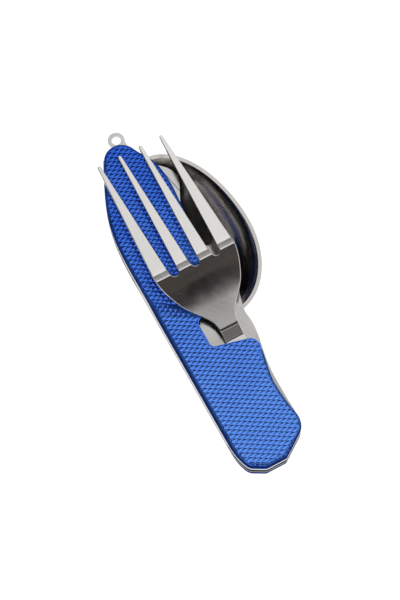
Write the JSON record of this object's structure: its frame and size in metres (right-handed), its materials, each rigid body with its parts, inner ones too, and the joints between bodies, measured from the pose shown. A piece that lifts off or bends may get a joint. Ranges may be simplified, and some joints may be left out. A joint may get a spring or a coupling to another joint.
{
  "type": "folding cutlery",
  "caption": "Folding picnic cutlery: a fork, a spoon and a knife turning out of a flat two-part handle with knurled scales, a bottle opener hook and a lanyard eye.",
  "frame": {"origin": "centre of the folded cutlery's bounding box in plan, on its lowest point, which is the bottom of the spoon's bowl", "axes": "+Z from the spoon side to the fork side, +Y along the handle from the fork and spoon pivot end to the lanyard eye, +X across the handle from its straight back to the notched side"},
  "size_m": [0.0408, 0.1155, 0.0185],
  "materials": {
    "blue_scale": "satin blue lacquer on embossed metal",
    "satin_steel": "polished to satin",
    "blade_steel": "fine brushed",
    "plate_steel": "polished",
    "spring_steel": "satin",
    "rivet_steel": "satin",
    "bronze": "plain"
  },
  "bodies": {
    "fork_half": {"backspring_rivets": "rivet_steel", "coupling_studs": "rivet_steel", "fork_detent_spring": "spring_steel", "fork_pivot_rivet": "rivet_steel", "fork_scale_rivets": "rivet_steel", "fork_side_liner": "plate_steel", "fork_side_scale": "blue_scale", "knife_backspring": "spring_steel", "knife_pivot_rivet": "rivet_steel"},
    "spoon_half": {"slide_catch": "spring_steel", "slide_catch_rivet": "rivet_steel", "spoon_detent_spring": "spring_steel", "spoon_pivot_rivet": "rivet_steel", "spoon_scale_rivets": "rivet_steel", "spoon_side_liner": "plate_steel", "spoon_side_scale": "blue_scale"},
    "fork": {"fork": "satin_steel", "fork_pivot_washer": "bronze"},
    "spoon": {"spoon": "satin_steel", "spoon_pivot_washer": "bronze"},
    "knife": {"knife_blade": "blade_steel", "knife_pivot_washer": "bronze"}
  },
  "joints": [
    {"name": "fork_fold", "type": "hinge", "parent": "fork_half", "child": "fork", "pos_m": [-0.0061, -0.04475, 0.0138], "axis": [0, 0, -1], "range_deg": [0, 180]},
    {"name": "knife_fold", "type": "hinge", "parent": "fork_half", "child": "knife", "pos_m": [-0.0061, 0.04525, 0.0113], "axis": [0, 0, 1], "range_deg": [0, 180]},
    {"name": "halves_slide", "type": "slide", "parent": "fork_half", "child": "spoon_half", "axis": [0, 1, 0], "range_m": [0, 0.008]},
    {"name": "spoon_fold", "type": "hinge", "parent": "spoon_half", "child": "spoon", "pos_m": [-0.0061, -0.04475, 0.0088], "axis": [0, 0, -1], "range_deg": [0, 175]}
  ]
}
